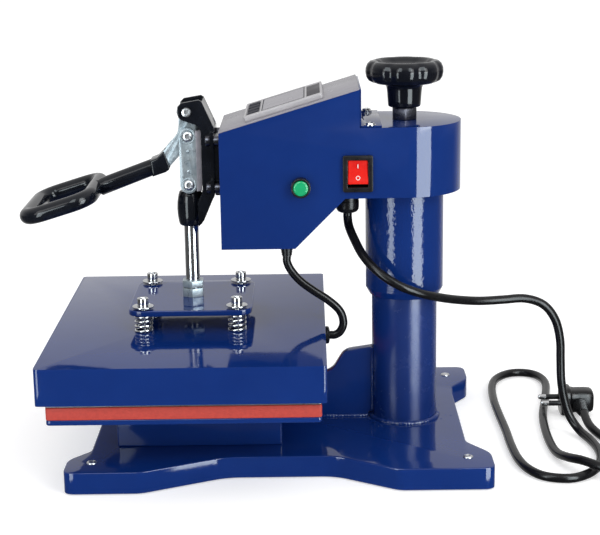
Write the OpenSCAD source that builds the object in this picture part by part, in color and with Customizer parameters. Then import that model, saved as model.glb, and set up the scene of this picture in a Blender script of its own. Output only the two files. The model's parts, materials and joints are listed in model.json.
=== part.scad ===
// Tabletop swing-away printing press, millimetres, +Z up.
// Modules are drawn from the column's axis at the level the base stands on, and placed()
// then moves them so that the press without its cord is centred over the origin.
// -Y is the operator's side, +X is the operator's right-hand side.

/* [Base] */
// Height of the pressed steel base, from table to top sheet
base_h = 20; // [16:1:30]
// Sheet thickness of the base
base_t = 2.5; // [2:0.5:4]
// Half width of the base across its feet
base_half_w = 142; // [130:1:160]
// Half width of the base at its waist
base_waist = 108; // [95:1:120]
// Front end of the base
base_front = -297; // [-320:1:-285]
// Rear end of the base
base_rear = 69; // [64:1:80]
// How far the rubber feet stand below the sheet
foot_drop = 1; // [0.5:0.5:3]

/* [Column] */
// Outer radius of the column tube
column_r = 29.5; // [28:0.5:31]
// Wall of the column tube
column_wall = 4; // [3:0.5:6]
// Height of the column's top end
column_top = 228; // [224:1:240]
// Outer radius of the arm's sleeve on the column
sleeve_r = 35; // [34:0.5:38]
// Height of the sleeve's lower end
sleeve_bottom = 137.5; // [130:0.5:150]

/* [Platens] */
// Distance from the column's axis to the press axis
press_y = -192; // [-200:1:-188]
// Width of the heated platen, left to right
platen_w = 300; // [280:5:310]
// Depth of the heated platen, front to back
platen_d = 230; // [220:5:235]
// Width of the platen's cover
cover_w = 312; // [308:1:320]
// Depth of the platen's cover
cover_d = 242; // [238:1:246]
// Height of the platen's cover
cover_h = 32; // [28:1:40]
// Height of the pedestal under the lower platen
pedestal_h = 45; // [40:1:50]
// Thickness of the silicone pad
pad_t = 11; // [8:0.5:14]

/* [Arm] */
// Half width of the arm housing, which is also its head's radius
arm_half_w = 50; // [46:1:54]
// Sheet thickness of the arm housing
arm_t = 2.5; // [2:0.5:3]
// Front face of the arm housing
arm_front = -162.5; // [-166:0.5:-160]
// Height of the housing's underside at the front
arm_low = 190; // [184:1:196]
// Height of the head's underside
head_low = 234; // [230:1:240]
// Height of the head's top
head_top = 295.5; // [290:0.5:300]
// Height of the sloping panel's front edge
panel_front_z = 292.3; // [288:0.1:296]
// Height of the sloping panel's rear edge
panel_rear_z = 328.3; // [320:0.1:332]
// Place of the sloping panel's rear edge
panel_rear_y = -41.2; // [-46:0.1:-39]

/* [Toggle] */
// Height of the handle's pivot
pivot_z = 306.6; // [304:0.1:310]
// Distance from the handle's pivot to the link's upper pin
crank_l = 22; // [20:0.5:24]
// Distance between the link's two pins
link_l = 43.5; // [42:0.5:46]
// Radius of the plunger rod
rod_r = 6.5; // [6:0.5:8]

/* [Handwheel] */
// Largest radius of the handwheel
wheel_r = 34.5; // [30:0.5:38]
// Number of scallops round the handwheel
wheel_lobes = 8; // [5:1:10]

/* [Cords] */
// Diameter of the mains cord
cord_d = 8; // [6:0.5:8]
// Diameter of the heater cable
lead_d = 7.5; // [6:0.5:8]

/* [Hidden] */
$fn = 64;
fit = 0.05;
gap = 0.3;

base_inner_z = base_h - base_t;
foot_r = 12;
foot_places = [[118, -275], [-118, -275], [115, 48], [-115, 48]];
notch_front = base_front + 18;
notch_rear = base_rear - 19;

lower_platen_z = base_h + pedestal_h;
lower_platen_t = 4.7;
pad_z = lower_platen_z + lower_platen_t;
heater_z = pad_z + pad_t + gap;
cover_z = heater_z + 3;
cover_top = cover_z + cover_h;
cover_t = 1.5;
heater_t = 14;
cover_y = press_y - 1.5;
cover_rear = cover_y + cover_d / 2;

plate_half = 54.6;
plate_t = 5;
plate_top = cover_top + 20.5;
bolt_x = 45.5;
bolt_y = 41.5;
float_gap = 1.5;
washer_r = 9.4;
spring_r = 8.3;
spring_wire = 1.25;

link_pin_z = pivot_z - crank_l;
fork_pin_z = link_pin_z - link_l;
guide_top = 232.4;
guide_low = 203;

panel_angle = atan2(panel_rear_z - panel_front_z, panel_rear_y - arm_front);
panel_len = norm([panel_rear_z - panel_front_z, panel_rear_y - arm_front]);
panel_t = 1.5;
slope_top = [-54, head_low];
slope_low = [slope_top[0] - (head_low - arm_low), arm_low];

switch_y = -43;
switch_z = 256;
button_y = -92.5;
button_z = 245.1;
bracket_bolt_x = 23.5;
gland_y = -51;
gland_low = 212;
lead_x = 18;
lead_y = -106;
spindle_r = 8;
wheel_z = 306.8;
switch_axle_x = 42;
placed_y = 135.5;
switch_tilt = 9;

// ---- shared shapes ----

function unit(v) = v / norm(v);

// Points of one outline corner b between a and c, rounded to start t before it.
function round_corner(a, b, c, t, n = 6) =
    let (p = b + unit(a - b) * t, q = b + unit(c - b) * t)
    [for (i = [0 : n]) let (s = i / n) (1 - s) * (1 - s) * p + 2 * s * (1 - s) * b + s * s * q];

// An outline of corners [x, y, rounding]; a rounding of 0 keeps the corner sharp.
function outline(corners) =
    let (n = len(corners))
    [for (i = [0 : n - 1])
        let (a = corners[(i + n - 1) % n], b = corners[i], c = corners[(i + 1) % n])
        each b[2] == 0 ? [[b[0], b[1]]]
            : round_corner([a[0], a[1]], [b[0], b[1]], [c[0], c[1]], b[2])];

// Upright plate whose outline is given in Y and Z, from x0 to x1.
module side_plate(points, x0, x1) {
    translate([x0, 0, 0])
        rotate([90, 0, 90])
        linear_extrude(x1 - x0)
        polygon(points);
}

// The same plate on both sides of the middle.
module plate_pair(points, x0, x1) {
    side_plate(points, x0, x1);
    side_plate(points, -x1, -x0);
}

// Block from one corner to the opposite one.
module block(low, high) {
    translate(low)
        cube(high - low);
}

// Round bar along X, Y or from one point to another.
module bar_x(r, x0, x1, y, z, sides = 64) {
    translate([x0, y, z])
        rotate([0, 90, 0])
        cylinder(r = r, h = x1 - x0, $fn = sides);
}

module bar_y(r, y0, y1, x, z, sides = 64) {
    translate([x, y1, z])
        rotate([90, 0, 0])
        cylinder(r = r, h = y1 - y0, $fn = sides);
}

module bar_between(a, b, r) {
    d = b - a;
    translate(a)
        rotate([0, acos(d[2] / norm(d)), atan2(d[1], d[0])])
        cylinder(r = r, h = norm(d));
}

module ring(r_in, r_out, z0, z1) {
    translate([0, 0, z0])
        difference() {
            cylinder(r = r_out, h = z1 - z0);
            translate([0, 0, -1])
                cylinder(r = r_in, h = z1 - z0 + 2);
        }
}

// Box with rounded upright edges.
function box_outline(x, y, w, d, r) = outline([
    [x - w / 2, y - d / 2, r], [x + w / 2, y - d / 2, r],
    [x + w / 2, y + d / 2, r], [x - w / 2, y + d / 2, r]]);

module on_panel() {
    translate([0, arm_front, panel_front_z])
        rotate([panel_angle, 0, 0])
        children();
}

module at_bolts() {
    for (sx = [-1, 1], sy = [-1, 1])
        translate([sx * bolt_x, press_y + sy * bolt_y, 0])
            children();
}

// ---- route of a cord: Catmull-Rom points and a swept tube ----

function spline_point(p, i, s) =
    let (n = len(p) - 1, a = p[max(i - 1, 0)], b = p[i], c = p[min(i + 1, n)], d = p[min(i + 2, n)])
    0.5 * (2 * b + (c - a) * s + (2 * a - 5 * b + 4 * c - d) * s * s
        + (3 * b - a - 3 * c + d) * s * s * s);

function spline(p, steps) = concat(
    [for (i = [0 : len(p) - 2], k = [0 : steps - 1]) spline_point(p, i, k / steps)],
    [p[len(p) - 1]]);

function tangents(p) =
    let (n = len(p) - 1)
    [for (i = [0 : n]) unit(p[min(i + 1, n)] - p[max(i - 1, 0)])];

function carried(v, t) = unit(v - (v * t) * t);

function side_vectors(t, i = 0, v = [0.31, 0.95, 0.02]) =
    i == len(t) ? [] : let (u = carried(v, t[i])) concat([u], side_vectors(t, i + 1, u));

module tube(p, r, sides) {
    t = tangents(p);
    u = side_vectors(t);
    n = len(p);
    rings = [for (i = [0 : n - 1], k = [0 : sides - 1])
        let (w = cross(t[i], u[i]), a = 360 * k / sides)
        p[i] + r * (cos(a) * u[i] + sin(a) * w)];
    walls = [for (i = [0 : n - 2], k = [0 : sides - 1])
        let (a = i * sides + k, b = i * sides + (k + 1) % sides)
        [a, a + sides, b + sides, b]];
    start = [[for (k = [0 : sides - 1]) k]];
    end = [[for (k = [sides - 1 : -1 : 0]) (n - 1) * sides + k]];
    polyhedron(points = rings, faces = concat(walls, start, end));
}

cord_route = [
    [0, gland_y, gland_low - 0.7], [0, gland_y, 209.4], [0, gland_y, 207.4], [4, -50, 200], [14, -46, 191], [29, -38, 178], [42, -25, 166],
    [48, -7, 155], [44, 11, 147], [33, 29, 140], [20, 47, 134], [10, 68, 130],
    [3, 90, 129], [0, 110, 129], [0, 127, 123], [0, 138, 109], [0, 143, 90],
    [0, 144, 70], [1, 145, 50], [2, 148, 33], [5, 153, 17], [14, 161, 6],
    [32, 167, 4], [54, 170, 4], [77, 169, 4], [99, 163, 4], [117, 151, 4],
    [127, 134, 4], [122, 114, 4], [105, 102, 4], [80, 96, 4], [45, 94, 4],
    [5, 94, 4], [-40, 93, 4], [-85, 93, 4], [-124, 96, 4], [-149, 103, 4],
    [-166, 117, 4], [-169, 133, 4], [-159, 146, 4], [-134, 151, 4], [-92, 145, 4],
    [-40, 135, 4], [0, 131, 4], [40, 130, 4], [68, 132, 5], [90, 138, 9],
    [108, 148, 12.6], [123, 162, 12], [132, 180, 8], [130, 200, 4], [114, 213, 4],
    [90, 213, 4], [66, 202, 4], [44, 189, 4], [22, 179, 4], [2, 172, 7],
    [-17.8, 170, 12]];

lead_route = [
    [lead_x, lead_y, 175.9], [lead_x, lead_y, 171], [18, -102.5, 163], [19, -94, 153],
    [20, -82, 144], [20, -69, 135], [20, -59, 125], [20, -56, 114], [20, -59, 106],
    [20, -63.5, 103], [20, -66.5, 102.8], [20, -68.1, 102.8]];

module placed() {
    translate([0, placed_y, 0])
        children();
}

// ---- base ----

function base_outline(inset) = let (
        w = base_half_w - inset, v = base_waist - inset,
        f = base_front + inset, r = base_rear - inset,
        nf = notch_front + inset, nr = notch_rear - inset)
    outline([
        [-88, nf, 4], [88, nf, 4], [110, f, 8], [w, f, 10], [w, -231, 6],
        [v, -160, 12], [v, -66, 12], [w, -12, 6], [w, r, 10], [104, r, 8],
        [76, nr, 6], [-76, nr, 6], [-104, r, 8], [-w, r, 10], [-w, -12, 6],
        [-v, -66, 12], [-v, -160, 12], [-w, -231, 6], [-w, f, 10], [-110, f, 8]]);

module base_pan() {
    placed()
    color([0.03, 0.09, 0.33])
        difference() {
            translate([0, 0, foot_drop])
                linear_extrude(base_h - foot_drop)
                polygon(base_outline(0));
            translate([0, 0, -1])
                linear_extrude(base_inner_z + 1)
                polygon(base_outline(base_t));
            for (p = foot_places)
                translate([p[0], p[1], 0])
                    cylinder(r = 2.5 + fit, h = base_h + 1);
        }
}

module rubber_feet() {
    placed()
    color([0.06, 0.06, 0.06])
        for (p = foot_places)
            translate([p[0], p[1], 0])
                difference() {
                    cylinder(r = foot_r, h = base_inner_z);
                    translate([0, 0, 4])
                        cylinder(r = 2.5 + fit, h = base_h);
                }
}

module foot_screws() {
    placed()
    color([0.72, 0.73, 0.76])
        for (p = foot_places)
            translate([p[0], p[1], 0]) {
                translate([0, 0, 6])
                    cylinder(r = 2.5, h = base_h - 5);
                translate([0, 0, base_h])
                    cylinder(r = 4.2, h = 1.6);
            }
}

module column_tube() {
    placed()
    color([0.03, 0.09, 0.33])
        ring(column_r - column_wall, column_r, base_h, column_top);
}

module column_weld() {
    placed()
    color([0.03, 0.09, 0.33])
        rotate_extrude()
        polygon([[column_r, base_h], [column_r + 4, base_h], [column_r + 2.6, base_h + 2.4],
            [column_r, base_h + 4]]);
}

module column_gusset() {
    placed()
    color([0.03, 0.09, 0.33])
        difference() {
            side_plate(outline([
                [-20, base_h, 0], [-112, base_h, 0], [-112, 58, 0], [-82, 59, 10],
                [-66, 65, 5], [-55, 83, 7], [-20, 88, 0]]), -5, 5);
            translate([0, 0, base_h - 1])
                cylinder(r = column_r + 4.05, h = 5.1);
            translate([0, 0, base_h])
                cylinder(r = column_r, h = 90);
        }
}

module column_plug() {
    placed()
    color([0.5, 0.5, 0.52])
        ring(12, column_r - column_wall - fit, 192, 204);
}

module pedestal() {
    wall = 3;
    front = press_y - 65;
    rear = front + 145;
    placed()
    color([0.03, 0.09, 0.33])
        difference() {
            block([-80, front, base_h], [80, rear, lower_platen_z]);
            block([-80 + wall, front + wall, base_h - 1], [80 - wall, rear - wall, lower_platen_z - wall]);
            for (sx = [-1, 1], sy = [-1, 1])
                translate([sx * 60, press_y + 8 + sy * 52, base_h + 10])
                    cylinder(r = 3 + fit, h = pedestal_h);
        }
}

module lower_platen() {
    placed()
    color([0.03, 0.09, 0.33])
        difference() {
            translate([0, 0, lower_platen_z])
                linear_extrude(lower_platen_t)
                polygon(box_outline(0, press_y, platen_w, platen_d, 4));
            for (sx = [-1, 1], sy = [-1, 1])
                translate([sx * 60, press_y + 8 + sy * 52, base_h])
                    cylinder(r = 3 + fit, h = 100);
        }
}

module platen_screws() {
    placed()
    color([0.6, 0.61, 0.64])
        for (sx = [-1, 1], sy = [-1, 1])
            translate([sx * 60, press_y + 8 + sy * 52, 0]) {
                translate([0, 0, lower_platen_z - 3 - 4])
                    cylinder(r = 5.5, h = 4, $fn = 6);
                translate([0, 0, lower_platen_z - 4])
                    cylinder(r = 3, h = 4 + lower_platen_t - 0.2);
            }
}

module silicone_pad() {
    placed()
    color([0.78, 0.2, 0.12])
        translate([0, 0, pad_z])
        linear_extrude(pad_t)
        polygon(box_outline(0, press_y, platen_w, platen_d, 3));
}

// ---- what turns and lifts on the column ----

module swivel_nut() {
    placed()
    color([0.75, 0.6, 0.3])
        difference() {
            union() {
                translate([0, 0, 204])
                    cylinder(r = 24, h = 5);
                translate([0, 0, 209])
                    cylinder(r = 16, h = 14, $fn = 6);
            }
            translate([0, 0, 200])
                cylinder(r = spindle_r + fit, h = 30);
        }
}

module column_bushes() {
    placed()
    color([0.85, 0.85, 0.8]) {
        ring(column_r + fit, 31, 140, 158);
        ring(column_r + fit, 31, 206, 224);
    }
}

module column_sleeve() {
    inner = 31;
    placed()
    color([0.03, 0.09, 0.33])
        rotate_extrude()
        polygon([[inner, sleeve_bottom], [inner + 0.8, sleeve_bottom], [sleeve_r, sleeve_bottom + 6],
            [sleeve_r, head_top - arm_t], [inner, head_top - arm_t]]);
}

// Solid inside the arm's plan outline, between two heights.
module arm_plan(half, front, z0, z1) {
    translate([0, 0, z0]) {
        cylinder(r = half, h = z1 - z0, $fn = 96);
        block([-half, front, 0], [half, 0, z1 - z0]);
    }
}

module arm_housing() {
    t = arm_t;
    placed()
    color([0.03, 0.09, 0.33])
        difference() {
            intersection() {
                arm_plan(arm_half_w, arm_front, arm_low - 1, 340);
                side_plate([[arm_front, arm_low], slope_low, slope_top, [60, head_low],
                    [60, head_top], [panel_rear_y, head_top], [panel_rear_y, panel_rear_z],
                    [arm_front, panel_front_z]], -60, 60);
            }
            intersection() {
                arm_plan(arm_half_w - t, arm_front + t, arm_low, 360);
                side_plate([[arm_front + t, arm_low + t], slope_low + [-t * 0.4, t],
                    slope_top + [-t * 0.4, t], [60, head_low + t], [60, head_top - t],
                    [panel_rear_y, head_top - t], [panel_rear_y, 350], [arm_front + t, 350]], -60, 60);
            }
            translate([0, 0, head_low - 5])
                cylinder(r = sleeve_r, h = 20);
            translate([0, 0, head_top - 10])
                cylinder(r = spindle_r + 1, h = 20);
            translate([0, gland_y, head_low - 10])
                cylinder(r = 8, h = 20);
            translate([lead_x, lead_y, arm_low - 5])
                cylinder(r = 6, h = 20);
            block([40, switch_y - 10.5, switch_z - 13.5], [60, switch_y + 10.5, switch_z + 13.5]);
            bar_x(6.4, 40, 60, button_y, button_z);
            for (sx = [-1, 1], z = [240, 282])
                bar_y(3 + fit, arm_front - 5, arm_front + 10, sx * bracket_bolt_x, z);
            for (sx = [-1, 1])
                translate([sx * 43, -32, head_top - 10])
                    cylinder(r = 2 + fit, h = 20);
        }
}

module rear_cover() {
    placed()
    color([0.03, 0.09, 0.33])
        difference() {
            side_plate([[panel_rear_y, head_top], [-22, head_top], [-22, head_top + 1.5],
                [panel_rear_y + 1.5, head_top + 1.5], [panel_rear_y + 1.5, panel_rear_z],
                [panel_rear_y, panel_rear_z]], 3 - arm_half_w, arm_half_w - 3);
            for (sx = [-1, 1])
                translate([sx * 43, -32, head_top - 5])
                    cylinder(r = 2 + fit, h = 10);
        }
}

module cover_screws() {
    placed()
    color([0.75, 0.75, 0.78])
        for (sx = [-1, 1])
            translate([sx * 43, -32, head_top]) {
                translate([0, 0, -8])
                    cylinder(r = 2, h = 9.5);
                translate([0, 0, 1.5])
                    cylinder(r = 4, h = 2);
            }
}

module control_panel() {
    placed()
    color([0.72, 0.71, 0.73])
        on_panel()
        block([-arm_half_w, 0, 0], [arm_half_w, panel_len, panel_t]);
}

module controller_bezel() {
    placed()
    color([0.82, 0.82, 0.84])
        on_panel()
        difference() {
            translate([0, 0, panel_t])
                linear_extrude(4.5)
                polygon(box_outline(0, 59.5, 84, 71, 2.5));
            block([-34, 81, panel_t + 2.5], [34, 93, 10]);
            block([-34, 26, panel_t + 3.5], [34, 38.5, 10]);
        }
}

module display_window() {
    placed()
    color([0.05, 0.04, 0.04])
        on_panel()
        block([-34, 81, panel_t + 2.5], [34, 93, panel_t + 4.2]);
}

module controller_keys() {
    placed()
    color([0.12, 0.12, 0.13])
        on_panel()
        for (i = [0 : 3])
            block([-32 + i * 17, 27, panel_t + 3.5], [-32 + i * 17 + 13, 37.5, panel_t + 4.9]);
}

module head_nut() {
    placed()
    color([0.75, 0.76, 0.78])
        difference() {
            translate([0, 0, head_top])
                cylinder(r = 12, h = 10.4, $fn = 6);
            translate([0, 0, head_top - 1])
                cylinder(r = spindle_r + fit, h = 20);
        }
}

module switch_bezel() {
    placed()
    color([0.1, 0.1, 0.1])
        difference() {
            union() {
                side_plate(outline([
                    [switch_y - 13, switch_z - 16, 2], [switch_y + 13, switch_z - 16, 2],
                    [switch_y + 13, switch_z + 16, 2], [switch_y - 13, switch_z + 16, 2]]),
                    arm_half_w, arm_half_w + 3);
                block([28, switch_y - 10.4, switch_z - 13.4], [arm_half_w, switch_y + 10.4, switch_z + 13.4]);
            }
            block([36, switch_y - 9, switch_z - 12], [60, switch_y + 9, switch_z + 12]);
        }
}

// Rocker on an axle along Y, resting with its upper end pressed in.
module switch_rocker() {
    placed()
    color([0.85, 0.05, 0.05])
        translate([switch_axle_x, switch_y, switch_z])
        rotate([0, -switch_tilt, 0])
        {
            difference() {
                block([3, -8.8, -10], [11.5, 8.8, 10]);
                bar_y(40, -10, 10, 50.2, 0);
            }
            bar_y(1.6, -8.8, 8.8, 0, 0);
            block([0, -8.8, -1.2], [3.5, 8.8, 1.2]);
        }
}

module button_collar() {
    placed()
    color([0.08, 0.08, 0.08])
        difference() {
            union() {
                bar_x(8.6, arm_half_w, arm_half_w + 8.5, button_y, button_z);
                bar_x(6.3, 30, arm_half_w + 1, button_y, button_z);
            }
            bar_x(5.6, 33, 60, button_y, button_z);
            bar_x(6.8, arm_half_w + 1, arm_half_w + 20, button_y, button_z);
        }
}

module button_cap() {
    placed()
    color([0.1, 0.65, 0.25])
        union() {
            bar_x(5.5, 40, arm_half_w + 4, button_y, button_z);
            bar_x(6.6, arm_half_w + 3.5, arm_half_w + 9.8, button_y, button_z);
        }
}

module mains_gland() {
    neck_r = 7.9;
    placed()
    color([0.05, 0.05, 0.05])
        difference() {
            union() {
                difference() {
                    translate([0, gland_y, gland_low])
                        union() {
                            cylinder(r1 = 8.5, r2 = 10.5, h = 5);
                            translate([0, 0, 5])
                                cylinder(r = 10.5, h = 30);
                        }
                    side_plate([slope_low, slope_top, [0, head_low], [0, 300], [-120, 300]], -20, 20);
                }
                translate([0, gland_y, gland_low + 8])
                    cylinder(r = neck_r, h = 24);
            }
            translate([0, gland_y, gland_low + 10])
                cylinder(r = 2.5, h = 60);
        }
}

module heater_gland() {
    placed()
    color([0.05, 0.05, 0.05])
        translate([lead_x, lead_y, 0])
        difference() {
            union() {
                translate([0, 0, 176])
                    cylinder(r = 6, h = arm_low - 176);
                translate([0, 0, arm_low])
                    cylinder(r = 5.9, h = 8);
            }
            translate([0, 0, 190])
                cylinder(r = 2, h = 20);
        }
}

// ---- the toggle clamp on the housing's front ----

module toggle_bracket() {
    web = [-171.5, -168.5];
    ear = [
        [web[1], 293], [-178.4, 315.6], [-181, 317.2], [-190.5, 315.6], [-196.5, 314.6],
        [-199.6, 311.5], [-200.4, 306.5], [-199, 302], [-196, 299.6], [-192, 298],
        [-184.5, 295.6], [-181, 292.6], [-179.6, 288], [-179.6, 236], [-184, 226],
        [-184, guide_low + 1], [-177, 212], [web[1], 226]];
    placed()
    color([0.05, 0.05, 0.06])
        difference() {
            union() {
                plate_pair(ear, 15, 18);
                block([-16, web[0], 227], [16, web[1], 292]);
                block([-29, web[0], 274], [29, web[1], 290]);
                block([-29, web[0], 232], [29, web[1], 248]);
                block([-16, -183, 213], [16, web[1] - 0.5, 229]);
                side_plate([[-178.4, 315.6], [web[1], 293], [-171.3, 291.8], [-181, 314]], -18, 18);
            }
            translate([0, press_y, guide_low])
                cylinder(r = 11 + fit, h = 60);
            bar_x(4 + fit, -30, 30, press_y, pivot_z);
            for (sx = [-1, 1], z = [240, 282])
                bar_y(3 + fit, -180, -160, sx * bracket_bolt_x, z);
        }
}

// Bolts with their spacers, four through the bracket into the housing.
module bracket_bolts() {
    nut_y = arm_front + arm_t;
    placed()
    color([0.7, 0.71, 0.74])
        for (sx = [-1, 1], z = [240, 282]) {
            bar_y(3, -171.5, nut_y + 6, sx * bracket_bolt_x, z);
            bar_y(5, -175.5, -171.5, sx * bracket_bolt_x, z);
            bar_y(5.5, nut_y, nut_y + 4, sx * bracket_bolt_x, z, 6);
            difference() {
                bar_y(4.6, -168.5, arm_front, sx * bracket_bolt_x, z);
                bar_y(3, -170, arm_front + 1, sx * bracket_bolt_x, z);
            }
        }
}

module plunger_guide() {
    placed()
    color([0.05, 0.05, 0.06])
        translate([0, press_y, 0])
        difference() {
            translate([0, 0, guide_low])
                cylinder(r = 11, h = guide_top - guide_low);
            translate([0, 0, guide_low - 1])
                cylinder(r = rod_r + fit, h = 60);
        }
}

module upper_pivot_pin() {
    placed()
    color([0.75, 0.76, 0.78]) {
        bar_x(4, -18, 18, press_y, pivot_z);
        bar_x(6.2, 18, 20.5, press_y, pivot_z);
        bar_x(6.2, -20.5, -18, press_y, pivot_z);
    }
}

module lever_plates() {
    arm = [
        [-199, 310, 5], [-184.5, 313, 5], [-184.5, 276, 3], [-192, 275.5, 3],
        [-209.3, 256.8, 0], [-217.3, 267.8, 0], [-200, 286.5, 8]];
    placed()
    color([0.74, 0.75, 0.77])
        difference() {
            plate_pair(outline(arm), 8, 11);
            bar_x(4 + fit, -30, 30, press_y, pivot_z);
            bar_x(3.5 + fit, -30, 30, press_y, link_pin_z);
            bar_x(2.5, -30, 30, -213, 263);
        }
}

module elbow_bolts() {
    placed()
    color([0.7, 0.71, 0.74])
        bar_x(2.5, -11, 11, -213, 263);
}

// The handle's bar: a flat end that holds both lever plates, then a round bar.
module handle_shaft() {
    low = [0, -272.5, 237];
    high = [0, -219, 257.3];
    end = [[-213.8, 271.4], [-220, 265.2], [-226, 263], [-224, 248.6], [-212.5, 252.4],
        [-209.6, 254.4], [-208.3, 257.8]];
    placed()
    color([0.04, 0.04, 0.045])
        difference() {
            union() {
                bar_between(low, high, 7);
                side_plate(end, -12.5, 12.5);
            }
            bar_x(2.5, -11, 11, -213, 263);
            for (sx = [-1, 1])
                side_plate([[-218.6, 268.2], [-209.4, 255.4], [-190, 276], [-200, 290]],
                    sx > 0 ? 8 : -11, sx > 0 ? 11 : -8);
            bar_x(loop_r + 0.1, -30, 30, loop_rear, loop_z);
        }
}

loop_tilt = 17;
loop_r = 7;
loop_half_w = 49;
loop_front = -333;
loop_rear = -277;
loop_z = 237;

// The loop's four bars, tilted down towards the operator.
module loop_bars(r) {
    length = (loop_rear - loop_front) / cos(loop_tilt);
    bend = 14;
    translate([0, loop_rear, loop_z])
        rotate([loop_tilt, 0, 0])
        for (sx = [-1, 1]) {
            bar_y(r, -length + bend, -bend, sx * loop_half_w, 0);
            for (end = [0, 1])
                translate([sx * (loop_half_w - bend), end == 0 ? -bend : -length + bend, 0])
                    rotate([0, 0, 90 * (end == 0 ? (sx > 0 ? 0 : 1) : (sx > 0 ? 3 : 2))])
                    rotate_extrude(angle = 90)
                    translate([bend, 0])
                    circle(r = r);
            for (y = [0, -length])
                bar_x(r, sx > 0 ? 0 : bend - loop_half_w, sx > 0 ? loop_half_w - bend : 0, y, 0);
        }
}

module handle_loop() {
    placed()
    color([0.04, 0.04, 0.045])
        loop_bars(loop_r);
}

module toggle_links() {
    end_r = 7.5;
    placed()
    color([0.74, 0.75, 0.77])
        difference() {
            for (x = [-14.5, 11.5])
                union() {
                    bar_x(end_r, x, x + 3, press_y, link_pin_z);
                    bar_x(end_r, x, x + 3, press_y, fork_pin_z);
                    block([x, press_y - end_r, fork_pin_z], [x + 3, press_y + end_r, link_pin_z]);
                }
            bar_x(3.5, -30, 30, press_y, link_pin_z);
            bar_x(3.5, -30, 30, press_y, fork_pin_z);
        }
}

module link_pin() {
    placed()
    color([0.75, 0.76, 0.78]) {
        bar_x(3.5, -14.5, 14.5, press_y, link_pin_z);
        bar_x(4.6, 14.5, 16.4, press_y, link_pin_z);
        bar_x(4.6, -16.4, -14.5, press_y, link_pin_z);
    }
}

module fork_pin() {
    placed()
    color([0.75, 0.76, 0.78]) {
        bar_x(3.5, -14.5, 14.5, press_y, fork_pin_z);
        bar_x(4.6, 14.5, 16.4, press_y, fork_pin_z);
        bar_x(4.6, -16.4, -14.5, press_y, fork_pin_z);
    }
}

// Where the fork pin stands against the rod's eye, at a share u of the stroke.
handle_swing = 100;
link_swing = asin(crank_l * sin(handle_swing) / link_l);
stroke = crank_l + link_l - link_l * cos(link_swing) - crank_l * cos(handle_swing);
function pin_offset(u) = [
    link_l * sin(link_swing * u) - crank_l * sin(handle_swing * u),
    crank_l + link_l - link_l * cos(link_swing * u) - crank_l * cos(handle_swing * u) - stroke * u];

module pin_slot() {
    for (u = [0 : 0.0625 : 1])
        bar_x(4.4, -20, 20, press_y + pin_offset(u)[0], fork_pin_z + pin_offset(u)[1], 48);
}

module plunger_rod() {
    placed()
    color([0.85, 0.86, 0.88])
        difference() {
            translate([0, press_y, cover_top + 4])
                cylinder(r = rod_r, h = guide_top + 0.6 - cover_top - 4);
            pin_slot();
        }
}

// The eye on the rod. Its slot gives the pin room all through the stroke.
module plunger_fork() {
    half = 7;
    low = guide_top + 0.6;
    placed()
    color([0.2, 0.2, 0.21])
        difference() {
            block([-half, press_y - 7, low], [half, press_y + 7, fork_pin_z + 8]);
            pin_slot();
        }
}

module rod_nuts() {
    placed()
    color([0.75, 0.76, 0.78])
        translate([0, press_y, 0])
        difference() {
            union() {
                translate([0, 0, plate_top])
                    cylinder(r = 10.5, h = 8, $fn = 6);
                translate([0, 0, plate_top + 9])
                    cylinder(r = 10.5, h = 6, $fn = 6);
                translate([0, 0, plate_top - plate_t - 6])
                    cylinder(r = 10.5, h = 6, $fn = 6);
            }
            translate([0, 0, cover_top])
                cylinder(r = rod_r, h = 60);
        }
}

module mount_plate() {
    placed()
    color([0.03, 0.09, 0.33])
        difference() {
            translate([0, 0, plate_top - plate_t])
                linear_extrude(plate_t)
                polygon(box_outline(0, press_y, 2 * plate_half, 2 * plate_half, 14));
            translate([0, press_y, cover_top])
                cylinder(r = rod_r, h = 60);
            at_bolts()
                translate([0, 0, cover_top])
                cylinder(r = 3.6, h = 60);
        }
}

// ---- the heated platen ----

module platen_cover() {
    t = cover_t;
    placed()
    color([0.03, 0.09, 0.33])
        difference() {
            translate([0, 0, cover_z])
                linear_extrude(cover_h)
                polygon(box_outline(0, cover_y, cover_w, cover_d, 4));
            translate([0, 0, cover_z - 1])
                linear_extrude(cover_h + 1 - t)
                polygon(box_outline(0, cover_y, cover_w - 2 * t, cover_d - 2 * t, 3));
            at_bolts()
                cylinder(r = 3 + fit, h = 200);
            bar_y(6.2, cover_rear - 6, cover_rear + 6, 20, 102.8);
        }
}

module heating_platen() {
    placed()
    color([0.62, 0.63, 0.65])
        difference() {
            translate([0, 0, heater_z])
                linear_extrude(heater_t)
                polygon(box_outline(0, press_y, platen_w, platen_d, 3));
            for (sx = [-1, 1])
                block([sx * 60 - 5.1, press_y - 95, heater_z + heater_t - 7],
                    [sx * 60 + 5.1, press_y + 95, heater_z + heater_t + 1]);
            at_bolts()
                translate([0, 0, heater_z + 4])
                cylinder(r = 3, h = 60);
        }
}

module heating_element() {
    placed()
    color([0.35, 0.33, 0.32])
        for (sx = [-1, 1])
            bar_y(3.5, press_y - 94, press_y + 94, sx * 60, heater_z + heater_t - 3.5);
}

module insulation_board() {
    placed()
    color([0.9, 0.88, 0.82])
        difference() {
            translate([0, 0, heater_z + heater_t])
                linear_extrude(9)
                polygon(box_outline(0, press_y, platen_w - 8, platen_d - 8, 3));
            at_bolts()
                cylinder(r = 3 + fit, h = 200);
        }
}

module spring_bolts() {
    head_z = plate_top + float_gap + 1.4;
    placed()
    color([0.82, 0.83, 0.85])
        at_bolts() {
            translate([0, 0, heater_z + 4])
                cylinder(r = 3, h = head_z - heater_z - 4);
            difference() {
                translate([0, 0, head_z])
                    cylinder(r = 5, h = 7);
                translate([0, 0, head_z + 4])
                    cylinder(r = 2.9, h = 7, $fn = 6);
            }
        }
}

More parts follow.
